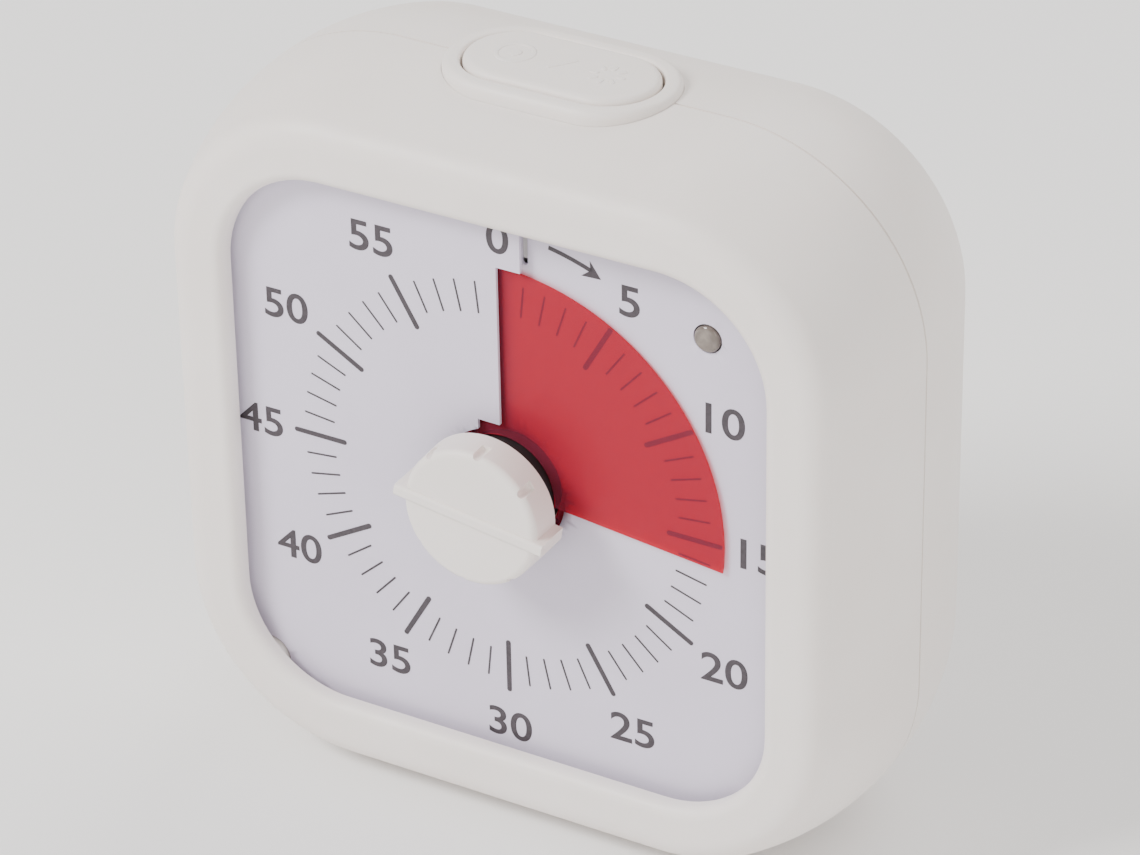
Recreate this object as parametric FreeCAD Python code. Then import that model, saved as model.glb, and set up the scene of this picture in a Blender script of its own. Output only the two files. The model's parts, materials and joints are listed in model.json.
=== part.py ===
import FreeCAD, Part
import math
import os

# Visual countdown timer: a pillow-shaped moulded case round a square dial window.
# A red disc of film comes up through a slit in the dial card as the centre knob is turned.
# Frame: millimetres. X runs to the right, Z up, and the dial faces -Y.
# The origin is on the base flat, under the widest section of the case.

V = FreeCAD.Vector

# Case: two shells that meet at the widest section, y = 0
case_width = 85.0
corner_radius = 23.0
front_depth = 17.0
back_depth = 18.0
side_bulge_radius = 39.0
front_edge_radius = 3.2
back_edge_radius = 5.0
case_wall = 2.0
base_cut = 0.8
parting_groove_width = 0.3
parting_groove_depth = 0.35

# Dial window in the front shell
bezel_width = 10.1
window_corner = 12.5
window_edge_radius = 1.3
window_lip_wall = 1.4

# Dial card: a sheet that climbs one pitch per turn, split at 12 o'clock
dial_middle_y = -13.5
sheet_pitch = 1.2
card_thickness = 0.4
card_overlap = 1.2
card_corner = 13.4
card_hole_radius = 7.2
card_notch_width = 2.7
card_notch_top = 7.9
card_tab_width = 2.9
card_tab_bottom = 26.8
card_tab_angle = 12.0
card_seat_gap = 0.05

# Time disc: one turn of film between the card's two layers
disc_radius = 26.4
disc_thickness = 0.2
disc_hole_radius = 6.2
disc_lead_angle = 96.0

# Hub that turns the disc and lets it slide along its ribs
hub_radius = 5.9
hub_rib_height = 0.8
hub_rib_width = 1.6
rib_clearance = 0.3
hub_rib_angle = 130.0
hub_rib_front_y = -14.7
hub_front_y = -16.7
hub_length = 4.9
hub_neck_length = 1.0
hub_shoulder = 1.0

# Setting knob
knob_radius = 8.1
knob_taper = 0.1
knob_back_y = -17.0
knob_height = 4.1
knob_edge_radius = 0.8
knob_bar_half = 9.0
knob_bar_width = 1.4
knob_bar_proud = 0.4
knob_bar_angle = 98.0
knob_groove_count = 6
knob_groove_radius = 0.55
knob_groove_length = 2.4
knob_socket_depth = 2.6

# Spindle and its fits
spindle_radius = 2.0
running_fit = 0.05
push_fit = 0.02
clip_groove_depth = 0.45

# Dial carrier: the plate behind the disc that everything is screwed to
carrier_front_y = -11.6
carrier_thickness = 1.6
carrier_inset = 6.5
carrier_corner = 17.5
disc_room_radius = 28.0

# Long case screws and the posts they pull together
screw_post_inset = 11.67
screw_post_radius = 2.3
case_screw_radius = 1.1
screw_head_radius = 2.0
screw_head_height = 1.4
case_screw_depth = 2.2
screw_recess_depth = 9.0
screw_recess_radius = 2.25
recess_wall = 1.1
post_gap = 0.05

# Movement: geared drive in its own two-part housing
movement_left = -26.0
movement_right = 15.5
movement_bottom = -23.0
movement_top = 15.5
movement_wall = 1.0
movement_depth = 8.0
movement_cover_thickness = 1.0
movement_corner = 4.0
ear_reach = 5.0
ear_thickness = 1.4
movement_screw_radius = 0.9
movement_screw_head = 1.7
bearing_boss_radius = 3.6
bearing_boss_length = 1.4
bush_radius = 3.4
bush_flange_radius = 4.6
bush_flange_thickness = 0.7
clutch_washer_thickness = 0.4
clutch_washer_radius = 4.2
axial_play = 0.1

# Gears, all of one module
gear_module = 0.5
spindle_wheel_teeth = 48
idler_pinion_teeth = 12
idler_wheel_teeth = 40
motor_pinion_teeth = 10
pressure_angle = 20.0
gear_backlash = 0.12
gear_root_clearance = 0.15
wheel_thickness = 1.5
wheel_rim = 2.0
wheel_web = 0.8
idler_wheel_thickness = 1.2
idler_level_gap = 1.0
idler_direction = 240.0
motor_direction = 140.0
axle_radius = 1.0
rotor_shaft_radius = 0.75

# Stepper motor can
motor_radius = 7.5
motor_length = 4.4
motor_nose_radius = 2.6

# Main board and what it carries
board_side_gap = 2.83
board_top_inset = 8.2
board_front_y = 1.0
board_thickness = 1.4
board_post_radius = 2.4
board_post_side_inset = 6.0
board_post_bottom_inset = 2.5
board_post_top_inset = 3.0
board_post_rise = 4.3
board_screw_radius = 0.9
board_screw_head = 1.8
chip_size = 7.0
chip_height = 1.6
capacitor_radius = 2.5
capacitor_height = 6.0
crystal_width = 2.5

# Signal light in the dial
light_inset_x = 8.2
light_inset_z = 8.0
light_radius = 1.5
light_dome_proud = 0.35
light_clearance = 0.15
light_flange_radius = 1.9
light_flange_thickness = 0.6
light_leg_radius = 0.25
light_leg_spacing = 1.27

# Top button in its collar
collar_length = 26.5
collar_width = 15.5
collar_proud = 0.9
collar_rim = 1.9
collar_edge_radius = 0.9
collar_flange = 1.6
collar_flange_thickness = 1.2
collar_flange_drop = 1.6
collar_clearance = 0.05
collar_hole_depth = 12.5
button_gap = 0.3
button_proud = 0.5
button_edge_radius = 0.9
button_skirt = 0.8
button_flange_thickness = 0.8
button_travel = 0.8
button_stem_radius = 2.0
button_stem_y = -1.2
plunger_radius = 1.5
plunger_proud = 1.1
switch_width = 6.6
switch_depth = 4.4
switch_height = 5.6

# Speaker behind its grille
speaker_up = 18.3
speaker_radius = 11.5
speaker_depth = 5.2
speaker_rib = 1.0
speaker_fit = 0.15
magnet_radius = 5.5
magnet_depth = 1.8
grille_hole_radius = 0.75
grille_pitch = 3.0
grille_rings = 3

# Loudness slider on the back
slider_x = 25.0
slider_up = 18.3
slider_travel = 3.0
slider_width = 3.0
slider_height = 3.6
slider_proud = 1.0
slider_clearance = 0.3
slide_switch_width = 6.0
slide_switch_height = 13.0
slide_switch_depth = 4.0

# Battery box for two small round cells
cell_radius = 5.25
cell_length = 43.6
cell_nub_radius = 1.9
cell_nub_length = 0.9
cell_gap = 0.7
cell_clearance = 0.35
tray_down = 17.2
tray_wall = 1.2
tray_front_y = 3.9
contact_room = 3.4
contact_plate_thickness = 0.4
contact_plate_size = 7.5
spring_radius = 2.8
spring_wire_radius = 0.3
spring_tip_radius = 1.9
spring_turns = 2
spring_seat_gap = 0.02
door_margin = 2.2
door_thickness = 1.2
door_gap = 0.25
door_corner = 3.0
door_grip_radius = 6.0
door_grip_depth = 0.5

# Sizes that follow from the ones above
half_width = case_width / 2
corner_offset = half_width - corner_radius
dial_z = half_width - base_cut
case_top_z = dial_z + half_width
window_width = case_width - 2 * bezel_width
card_width = window_width + 2 * card_overlap
carrier_width = case_width - 2 * carrier_inset
screw_post_offset = half_width - screw_post_inset
rear_inside_y = back_depth - case_wall
carrier_back_y = carrier_front_y + carrier_thickness
card_start_y = dial_middle_y + sheet_pitch / 2
movement_floor_y = carrier_back_y + movement_wall
movement_back_y = carrier_back_y + movement_depth
cover_back_y = movement_back_y + movement_cover_thickness
bush_flange_back_y = movement_floor_y + bush_flange_thickness
washer_front_y = bush_flange_back_y + axial_play
wheel_front_y = washer_front_y + clutch_washer_thickness + axial_play
wheel_back_y = wheel_front_y + wheel_thickness
idler_wheel_front_y = wheel_back_y + idler_level_gap
idler_wheel_back_y = idler_wheel_front_y + idler_wheel_thickness
idler_distance = gear_module * (spindle_wheel_teeth + idler_pinion_teeth) / 2
motor_distance = gear_module * (idler_wheel_teeth + motor_pinion_teeth) / 2
board_back_y = board_front_y + board_thickness
board_width = 2 * (screw_post_offset - board_side_gap)
board_post_x = board_width / 2 - board_post_side_inset
board_post_low = dial_z + movement_top + board_post_rise
board_bottom = board_post_low - board_post_bottom_inset
board_top = case_top_z - board_top_inset
board_post_high = board_top - board_post_top_inset
light_x = window_width / 2 - light_inset_x
light_up = window_width / 2 - light_inset_z
collar_top_z = case_top_z + collar_proud
collar_flange_top_z = case_top_z - case_wall - collar_flange_drop
button_top_z = collar_top_z + button_proud
speaker_z = dial_z + speaker_up
slider_z = dial_z + slider_up
tray_centre_z = dial_z - tray_down
cell_room_length = cell_length + cell_nub_length + contact_room
cell_room_height = 4 * cell_radius + cell_gap + 2 * cell_clearance
cell_y = rear_inside_y - cell_clearance - cell_radius
outside = 200.0


def clock_point(angle, radius):
    """x and z on the dial, with the angle clockwise from 12 o'clock in degrees."""
    turn = math.radians(angle)
    return radius * math.sin(turn), dial_z + radius * math.cos(turn)


def box(x0, x1, y0, y1, z0, z1):
    return Part.makeBox(x1 - x0, y1 - y0, z1 - z0, V(x0, y0, z0))


def rod(radius, y0, y1, x=0.0, z=dial_z):
    return Part.makeCylinder(radius, y1 - y0, V(x, y0, z), V(0, 1, 0))


def tube(outer, inner, y0, y1, x=0.0, z=dial_z):
    return rod(outer, y0, y1, x, z).cut(rod(inner, y0, y1, x, z))


def rounded_face(width, height, radius, centre, across, up):
    """Face of a rounded rectangle, spanned by two unit vectors."""
    half_a = width / 2 - radius
    half_u = height / 2 - radius
    edges = []
    signs = [(1, 1), (-1, 1), (-1, -1), (1, -1)]
    for index, (sa, su) in enumerate(signs):
        hub = centre + across * (sa * half_a) + up * (su * half_u)
        first = across * radius * sa if index % 2 == 0 else up * radius * su
        last = up * radius * su if index % 2 == 0 else across * radius * sa
        middle = (across * sa + up * su) * (radius * math.sqrt(0.5))
        edges.append(Part.Arc(hub + first, hub + middle, hub + last).toShape())
    wire_edges = []
    for index in range(4):
        start = edges[index].Vertexes[-1].Point
        end = edges[(index + 1) % 4].Vertexes[0].Point
        wire_edges.append(edges[index])
        if (end - start).Length > 1e-6:
            wire_edges.append(Part.makeLine(start, end))
    return Part.Face(Part.Wire(wire_edges))


def plate(width, height, radius, y0, y1, x=0.0, z=dial_z):
    """Rounded plate that lies square to Y."""
    face = rounded_face(width, height, radius, V(x, y0, z), V(1, 0, 0), V(0, 0, 1))
    return face.extrude(V(0, y1 - y0, 0))


def pill(length, width, z0, z1, x=0.0, y=0.0):
    """Upright solid with the outline of a pill, long along X."""
    face = rounded_face(length, width, width / 2, V(x, y, z0), V(1, 0, 0), V(0, 1, 0))
    return face.extrude(V(0, 0, z1 - z0))


def corners(offset):
    """The four places at equal offsets from the dial's centre."""
    return [(sx * offset, dial_z + sz * offset) for sx in (1, -1) for sz in (1, -1)]


def fuse_all(solids):
    joined = solids[0].multiFuse(solids[1:]) if len(solids) > 1 else solids[0]
    return joined.removeSplitter()


def edges_at(shape, test):
    return [edge for edge in shape.Edges if test(edge)]


# Case form

def edge_circle(inset, depth, edge_radius):
    """Centre offset and tangent point of the arc that rounds the case's front or back edge."""
    bulge = side_bulge_radius - inset
    reach = bulge - edge_radius
    drop = depth - edge_radius
    centre = corner_radius - side_bulge_radius + math.sqrt(reach ** 2 - drop ** 2)
    slope = math.atan2(drop, centre - corner_radius + side_bulge_radius)
    return centre, slope


def case_profile(inset):
    """Half section of the case, with its radius measured from the corner's axis."""
    front = front_depth - inset
    back = back_depth - inset
    front_round = front_edge_radius - inset
    back_round = back_edge_radius - inset
    front_centre, front_slope = edge_circle(inset, front, front_round)
    back_centre, back_slope = edge_circle(inset, back, back_round)
    bulge = side_bulge_radius - inset
    bulge_centre = corner_radius - side_bulge_radius

    def on_bulge(slope, side):
        return V(bulge_centre + bulge * math.cos(slope), side * bulge * math.sin(slope), 0)

    def on_edge(centre, depth, radius, slope, side):
        return V(centre + radius * math.cos(slope), side * (depth - radius + radius * math.sin(slope)), 0)

    front_mid = (front_slope + math.pi / 2) / 2
    back_mid = (back_slope + math.pi / 2) / 2
    p_axis_front = V(0, -front, 0)
    p_front = V(front_centre, -front, 0)
    p_front_side = on_bulge(front_slope, -1)
    p_back_side = on_bulge(back_slope, 1)
    p_back = V(back_centre, back, 0)
    p_axis_back = V(0, back, 0)
    return Part.Wire([
        Part.makeLine(p_axis_front, p_front),
        Part.Arc(p_front, on_edge(front_centre, front, front_round, front_mid, -1), p_front_side).toShape(),
        Part.Arc(p_front_side, on_bulge(0, 1), p_back_side).toShape(),
        Part.Arc(p_back_side, on_edge(back_centre, back, back_round, back_mid, 1), p_back).toShape(),
        Part.makeLine(p_back, p_axis_back),
        Part.makeLine(p_axis_back, p_axis_front),
    ])


def pillow(inset):
    """The case's outer form, drawn in by a wall."""
    section = Part.Face(case_profile(inset))
    pieces = [box(-corner_offset, corner_offset, -front_depth + inset, back_depth - inset,
                  dial_z - corner_offset, dial_z + corner_offset)]
    for quarter in range(4):
        side = section.copy()
        side.translate(V(corner_offset, 0, -corner_offset))
        side = side.extrude(V(0, 0, 2 * corner_offset))
        corner = section.copy()
        corner.translate(V(corner_offset, 0, corner_offset))
        corner = corner.revolve(V(corner_offset, 0, corner_offset), V(0, 1, 0), -90)
        for piece in (side, corner):
            piece.rotate(V(0, 0, 0), V(0, 1, 0), 90 * quarter)
            piece.translate(V(0, 0, dial_z))
            pieces.append(piece)
    return fuse_all(pieces)


# Sheets that climb round the spindle

def screw_sheet(inner, outer, y0, y1, start_angle, end_angle):
    """Sheet between two radii that moves forward one pitch per clockwise turn.

    y0 and y1 are its back and front at 12 o'clock of the first turn.
    """
    turn = end_angle - start_angle
    middle = (inner + outer) / 2
    low = min(-y0, -y1)
    high = max(-y0, -y1)
    helix = Part.makeHelix(sheet_pitch, sheet_pitch * turn / 360, middle)
    helix.translate(V(0, 0, (low + high) / 2))
    outline = Part.makePolygon([V(inner, 0, low), V(outer, 0, low), V(outer, 0, high),
                                V(inner, 0, high), V(inner, 0, low)])
    sheet = Part.Wire(helix.Edges).makePipeShell([outline], True, True)
    sheet = sheet.mirror(V(0, 0, 0), V(0, 1, 0))
    turned = FreeCAD.Matrix(0, -1, 0, 0, 0, 0, -1, 0, 1, 0, 0, 0, 0, 0, 0, 1)
    sheet.Placement = FreeCAD.Placement(turned).multiply(sheet.Placement)
    sheet.rotate(V(0, 0, 0), V(0, 1, 0), start_angle)
    sheet.translate(V(0, -sheet_pitch * start_angle / 360, dial_z))
    return sheet


def card_room():
    """Everything in front of the card's back face, used to shape what the card lies on."""
    back = card_start_y + card_thickness / 2 + card_seat_gap
    return screw_sheet(disc_room_radius - 1, half_width + 10, back, back - 6.0, 0, 360)


def lip_room():
    """Everything behind the card's front face, used to shape the window's lip."""
    front = card_start_y - card_thickness / 2 - card_seat_gap
    return screw_sheet(disc_room_radius - 1, half_width + 10, front + 6.0, front, 0, 360 + card_tab_angle)


def build_dial_card():
    sheet = screw_sheet(card_hole_radius - 1, card_width * 0.75, card_start_y + card_thickness / 2,
                        card_start_y - card_thickness / 2, 0, 360 + card_tab_angle)
    between = card_start_y - sheet_pitch / 2
    blank = plate(card_width, card_width, card_corner, between - 3, between + 3)
    blank = blank.cut(rod(card_hole_radius, between - 4, between + 4))
    blank = blank.cut(rod(light_radius + light_clearance, between - 4, between + 4, light_x, dial_z + light_up))
    for x, z in corners(screw_post_offset):
        blank = blank.cut(rod(screw_post_radius + button_gap, between - 4, between + 4, x, z))
    card = sheet.common(blank)
    beyond = 15.0
    card = card.cut(box(0, beyond, between - 3, between, dial_z, dial_z + card_tab_bottom))
    card = card.cut(box(card_tab_width, beyond, between - 3, between, dial_z, dial_z + card_width))
    card = card.cut(box(-card_notch_width, 0, between - 3, between, dial_z, dial_z + card_notch_top))
    return card


def build_time_disc():
    middle = card_start_y - sheet_pitch / 2
    disc = screw_sheet(disc_hole_radius, disc_radius, middle + disc_thickness / 2,
                       middle - disc_thickness / 2, disc_lead_angle - 360, disc_lead_angle)
    slot_half = hub_rib_width / 2 + rib_clearance
    slot_reach = hub_radius + hub_rib_height + rib_clearance
    slots = box(-slot_half, slot_half, middle - 4, middle + 4, dial_z - slot_reach, dial_z + slot_reach)
    slots = slots.common(rod(slot_reach, middle - 4, middle + 4))
    slots.rotate(V(0, 0, dial_z), V(0, 1, 0), hub_rib_angle)
    return disc.cut(slots)


# Case parts

def half_space(front):
    return box(-outside, outside, -outside if front else 0, 0 if front else outside, 0, outside)


def collar_hole():
    return pill(collar_length + 2 * collar_clearance, collar_width + 2 * collar_clearance,
                case_top_z - collar_hole_depth, case_top_z + 5)


def build_front_case(outer, inner):
    shell = outer.common(half_space(True)).cut(inner)
    lip = plate(window_width + 2 * window_lip_wall, window_width + 2 * window_lip_wall,
                window_corner + window_lip_wall, -front_depth + case_wall / 2, dial_middle_y + 1)
    lip = lip.cut(lip_room())
    posts = [rod(screw_post_radius, -front_depth + case_wall / 2, carrier_front_y, x, z)
             for x, z in corners(screw_post_offset)]
    posts = [post.common(outer) for post in posts]
    shell = fuse_all([shell, lip] + posts)
    shell = shell.cut(plate(window_width, window_width, window_corner, -front_depth - 1, dial_middle_y + 2))
    rim = edges_at(shell, lambda e: abs(e.BoundBox.YMin + front_depth) < 1e-4
                   and abs(e.BoundBox.YMax + front_depth) < 1e-4
                   and max(abs(e.BoundBox.XMin), abs(e.BoundBox.XMax)) < window_width / 2 + 0.01)
    shell = shell.makeFillet(window_edge_radius, rim)
    for x, z in corners(screw_post_offset):
        shell = shell.cut(rod(case_screw_radius, carrier_front_y - case_screw_depth, carrier_front_y, x, z))
    groove = pillow(-1.0).cut(pillow(parting_groove_depth))
    groove = groove.common(box(-outside, outside, -parting_groove_width, 0, -outside, outside))
    return shell.cut(groove).cut(collar_hole())


def grille_holes():
    holes = [rod(grille_hole_radius, rear_inside_y - 1, back_depth + 1, 0, speaker_z)]
    for ring in range(1, grille_rings + 1):
        for step in range(6 * ring):
            angle = 2 * math.pi * step / (6 * ring)
            x = ring * grille_pitch * math.cos(angle)
            z = speaker_z + ring * grille_pitch * math.sin(angle)
            holes.append(rod(grille_hole_radius, rear_inside_y - 1, back_depth + 1, x, z))
    return holes


def build_rear_case(outer, inner):
    shell = outer.common(half_space(False)).cut(inner)
    post_front_y = carrier_back_y + post_gap
    recess_floor_y = back_depth - screw_recess_depth
    adds = [tube(speaker_radius + speaker_fit + speaker_rib, speaker_radius + speaker_fit,
                 rear_inside_y - speaker_depth, rear_inside_y + case_wall / 2, 0, speaker_z)]
    for x, z in corners(screw_post_offset):
        adds.append(rod(screw_post_radius, post_front_y, rear_inside_y + case_wall / 2, x, z))
        wide = rod(screw_recess_radius + recess_wall, recess_floor_y - recess_wall,
                   rear_inside_y + case_wall / 2, x, z)
        adds.append(wide.common(outer))
    shell = fuse_all([shell] + adds)
    for x, z in corners(screw_post_offset):
        shell = shell.cut(rod(case_screw_radius + running_fit, post_front_y, back_depth, x, z))
        shell = shell.cut(rod(screw_recess_radius, recess_floor_y, back_depth + 1, x, z))
    for hole in grille_holes():
        shell = shell.cut(hole)
    slot_high = slider_height + 2 * slider_travel + 2 * slider_clearance
    shell = shell.cut(plate(slider_width + 2 * slider_clearance, slot_high, slider_clearance,
                            rear_inside_y - 1, back_depth + 1, slider_x, slider_z))
    shell = shell.cut(plate(cell_room_length, cell_room_height, 1.0,
                            rear_inside_y - 1, back_depth + 1, 0, tray_centre_z))
    shell = shell.cut(plate(cell_room_length + 2 * door_margin, cell_room_height + 2 * door_margin, door_corner,
                            back_depth - door_thickness, back_depth + 1, 0, tray_centre_z))
    return shell.cut(collar_hole())


def build_button_collar():
    flange = pill(collar_length + 2 * collar_flange, collar_width + 2 * collar_flange,
                  collar_flange_top_z - collar_flange_thickness, collar_flange_top_z)
    ring = pill(collar_length, collar_width, collar_flange_top_z - collar_flange_thickness, collar_top_z)
    ring = ring.makeFillet(collar_edge_radius, edges_at(ring, lambda e: e.BoundBox.ZMin > collar_top_z - 1e-4))
    collar = fuse_all([flange, ring])
    bore = pill(collar_length - 2 * collar_rim, collar_width - 2 * collar_rim, 0, collar_top_z + 1)
    collar = collar.cut(bore)
    inner_rim = edges_at(collar, lambda e: e.BoundBox.ZMin > collar_top_z - 1e-4
                         and e.BoundBox.XMax < collar_length / 2 - collar_rim + 0.01
                         and e.BoundBox.YMax < collar_width / 2 - collar_rim + 0.01)
    return collar.makeFillet(collar_rim / 4, inner_rim)


def build_dial_carrier():
    carrier = plate(carrier_width, carrier_width, carrier_corner, carrier_front_y, carrier_back_y)
    rim = plate(card_width, card_width, card_corner, dial_middle_y - 1.5, carrier_front_y)
    rim = rim.cut(rod(disc_room_radius, dial_middle_y - 2, carrier_front_y))
    for x, z in corners(screw_post_offset):
        rim = rim.cut(rod(screw_post_radius + button_gap, dial_middle_y - 2, carrier_front_y, x, z))
    rim = rim.cut(card_room())
    posts = []
    for x in (-board_post_x, board_post_x):
        for z in (board_post_low, board_post_high):
            posts.append(rod(board_post_radius, carrier_back_y, board_front_y, x, z))
    carrier = fuse_all([carrier, rim] + posts)
    for x in (-board_post_x, board_post_x):
        for z in (board_post_low, board_post_high):
            carrier = carrier.cut(rod(board_screw_radius, board_front_y - 5, board_front_y, x, z))
    for x, z in corners(screw_post_offset):
        carrier = carrier.cut(rod(case_screw_radius + running_fit, carrier_front_y, carrier_back_y, x, z))
    for x, z in movement_ears():
        carrier = carrier.cut(rod(movement_screw_radius, carrier_front_y, carrier_back_y, x, z))
    carrier = carrier.cut(rod(bush_radius + push_fit, carrier_front_y, carrier_back_y))
    light_z = dial_z + light_up
    return carrier.cut(rod(light_radius + light_clearance, dial_middle_y - 2, carrier_back_y, light_x, light_z))


# Movement

def movement_ears():
    reach = ear_reach / 2
    return [(movement_left - reach, dial_z + 6), (movement_right + reach, dial_z - 14),
            (movement_right + reach, dial_z + 10), (movement_left - reach, dial_z - 14)]


def movement_plate(y0, y1, inset=0.0):
    width = movement_right - movement_left - 2 * inset
    height = movement_top - movement_bottom - 2 * inset
    middle_x = (movement_right + movement_left) / 2
    middle_z = dial_z + (movement_top + movement_bottom) / 2
    return plate(width, height, movement_corner - inset, y0, y1, middle_x, middle_z)


def build_movement_base():
    base = movement_plate(carrier_back_y, movement_back_y)
    ears = [rod(ear_reach / 2 + 0.4, carrier_back_y, carrier_back_y + ear_thickness, x, z)
            for x, z in movement_ears()]
    links = []
    for x, z in movement_ears():
        inward = 3.0 if x < 0 else -3.0
        links.append(box(min(x, x + inward), max(x, x + inward), carrier_back_y,
                         carrier_back_y + ear_thickness, z - ear_reach / 2, z + ear_reach / 2))
    base = fuse_all([base] + ears + links)
    base = base.cut(movement_plate(movement_floor_y, movement_back_y, movement_wall))
    base = base.cut(rod(bush_radius + push_fit, carrier_back_y, movement_floor_y))
    idler_x, idler_z = idler_centre()
    boss = rod(2.2, movement_floor_y, movement_floor_y + 0.6, idler_x, idler_z)
    base = fuse_all([base, boss])
    base = base.cut(rod(axle_radius + push_fit, carrier_back_y + 0.3, movement_floor_y + 0.6, idler_x, idler_z))
    for x, z in movement_ears():
        base = base.cut(rod(movement_screw_radius + running_fit, carrier_back_y,
                            carrier_back_y + ear_thickness, x, z))
    return base


def build_movement_cover():
    cover = movement_plate(movement_back_y, cover_back_y)
    boss = rod(bearing_boss_radius, movement_back_y - bearing_boss_length, movement_back_y)
    idler_x, idler_z = idler_centre()
    axle_boss = rod(2.2, idler_wheel_back_y + 0.4, movement_back_y, idler_x, idler_z)
    cover = fuse_all([cover, boss, axle_boss])
    cover = cover.cut(rod(spindle_radius + running_fit, movement_back_y - bearing_boss_length, cover_back_y - 0.2))
    cover = cover.cut(rod(axle_radius + push_fit, idler_wheel_back_y, cover_back_y - 0.3, idler_x, idler_z))
    motor_x, motor_z = motor_centre()
    return cover.cut(rod(motor_nose_radius + running_fit, movement_back_y, cover_back_y, motor_x, motor_z))


def idler_centre():
    return clock_point(idler_direction, idler_distance)


def motor_centre():
    idler_x, idler_z = idler_centre()
    turn = math.radians(motor_direction)
    return idler_x + motor_distance * math.sin(turn), idler_z + motor_distance * math.cos(turn)


def gear(teeth, y0, y1, x, z, tooth_direction):
    """Involute spur gear on the Y axis, with a tooth centred on a clock direction."""
    pitch_radius = gear_module * teeth / 2
    base_radius = pitch_radius * math.cos(math.radians(pressure_angle))
    tip_radius = pitch_radius + gear_module
    root_radius = pitch_radius - gear_module - gear_root_clearance
    involute = math.tan(math.radians(pressure_angle)) - math.radians(pressure_angle)
    half_tooth = math.pi / (2 * teeth) - gear_backlash / (2 * pitch_radius) + involute

    def half_angle(radius):
        if radius <= base_radius:
            return half_tooth
        alpha = math.acos(base_radius / radius)
        return half_tooth - (math.tan(alpha) - alpha)

    radii = [root_radius, max(base_radius, root_radius + 0.05), pitch_radius, tip_radius]
    points = []
    for tooth in range(teeth):
        middle = math.radians(tooth_direction) + 2 * math.pi * tooth / teeth
        flank = [(radius, middle - half_angle(radius)) for radius in radii]
        flank += [(radius, middle + half_angle(radius)) for radius in reversed(radii)]
        for radius, angle in flank:
            points.append(V(x + radius * math.sin(angle), y0, z + radius * math.cos(angle)))
    points.append(points[0])
    return Part.Face(Part.makePolygon(points)).extrude(V(0, y1 - y0, 0))


def build_spindle_wheel():
    wheel = gear(spindle_wheel_teeth, wheel_front_y, wheel_back_y, 0, dial_z, idler_direction)
    pitch_radius = gear_module * spindle_wheel_teeth / 2
    hollow = tube(pitch_radius - gear_module - wheel_rim, bearing_boss_radius + 1.0,
                  wheel_front_y + wheel_web, wheel_back_y)
    return wheel.cut(hollow).cut(rod(spindle_radius + push_fit, wheel_front_y, wheel_back_y))


def build_idler_wheel():
    x, z = idler_centre()
    front = wheel_front_y - 0.2
    gap_direction = idler_direction + 180 + 180 / idler_pinion_teeth
    pinion = gear(idler_pinion_teeth, front, idler_wheel_front_y, x, z, gap_direction)
    wheel = gear(idler_wheel_teeth, idler_wheel_front_y, idler_wheel_back_y, x, z, motor_direction)
    body = pinion.fuse(wheel)
    return body.cut(rod(axle_radius + running_fit, front, idler_wheel_back_y, x, z))


def build_motor_pinion():
    x, z = motor_centre()
    gap_direction = motor_direction + 180 + 180 / motor_pinion_teeth
    pinion = gear(motor_pinion_teeth, idler_wheel_front_y, idler_wheel_back_y + 0.3, x, z, gap_direction)
    return pinion.cut(rod(rotor_shaft_radius + push_fit, idler_wheel_front_y, idler_wheel_back_y + 0.3, x, z))


def build_stepper_motor():
    x, z = motor_centre()
    can = rod(motor_radius, cover_back_y, cover_back_y + motor_length, x, z)
    can = can.makeFillet(0.6, edges_at(can, lambda e: e.BoundBox.YMin > cover_back_y + motor_length - 1e-4))
    nose = rod(motor_nose_radius, movement_back_y, cover_back_y, x, z)
    motor = fuse_all([can, nose])
    return motor.cut(rod(rotor_shaft_radius + running_fit, movement_back_y,
                         cover_back_y + motor_length - 0.8, x, z))


# Spindle parts

def build_time_knob():
    front = knob_back_y - knob_height
    body = Part.makeCone(knob_radius - knob_taper, knob_radius, knob_height, V(0, front, dial_z), V(0, 1, 0))
    body = body.makeFillet(knob_edge_radius, edges_at(body, lambda e: e.BoundBox.YMax < front + 1e-4))
    bar_front = front - knob_bar_proud
    bar_back = knob_back_y
    half = knob_bar_width / 2
    bar = box(-knob_bar_half, knob_bar_half, bar_front, bar_back, dial_z - half, dial_z + half)
    bar = bar.makeFillet(half * 0.6, edges_at(bar, lambda e: e.BoundBox.YMax < bar_front + 1e-4
                                              and e.BoundBox.XLength > knob_bar_half))
    bar.rotate(V(0, 0, dial_z), V(0, 1, 0), knob_bar_angle - 90)
    knob = body.fuse(bar)
    for index in range(knob_groove_count):
        angle = knob_bar_angle + 180.0 / (knob_groove_count / 2 + 1) * (index % (knob_groove_count // 2) + 1)
        if index >= knob_groove_count // 2:
            angle += 180
        x, z = clock_point(angle, knob_radius)
        knob = knob.cut(rod(knob_groove_radius, front - 1, front + knob_groove_length, x, z))
    socket = rod(hub_radius - hub_shoulder, hub_front_y - hub_neck_length, knob_back_y)
    knob = knob.cut(rod(spindle_radius + push_fit, knob_back_y - knob_socket_depth, knob_back_y))
    return knob.cut(socket)


def build_disc_hub():
    hub_back_y = hub_front_y + hub_length
    core = rod(hub_radius, hub_front_y, hub_back_y)
    neck = rod(hub_radius - hub_shoulder - push_fit, hub_front_y - hub_neck_length + push_fit, hub_front_y)
    rib = box(-hub_rib_width / 2, hub_rib_width / 2, hub_rib_front_y, hub_back_y,
              dial_z - hub_radius - hub_rib_height, dial_z + hub_radius + hub_rib_height)
    rib.rotate(V(0, 0, dial_z), V(0, 1, 0), hub_rib_angle)
    hub = fuse_all([core, rib, neck])
    return hub.cut(rod(spindle_radius + push_fit, hub_front_y - 2 * hub_neck_length, hub_back_y))


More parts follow.
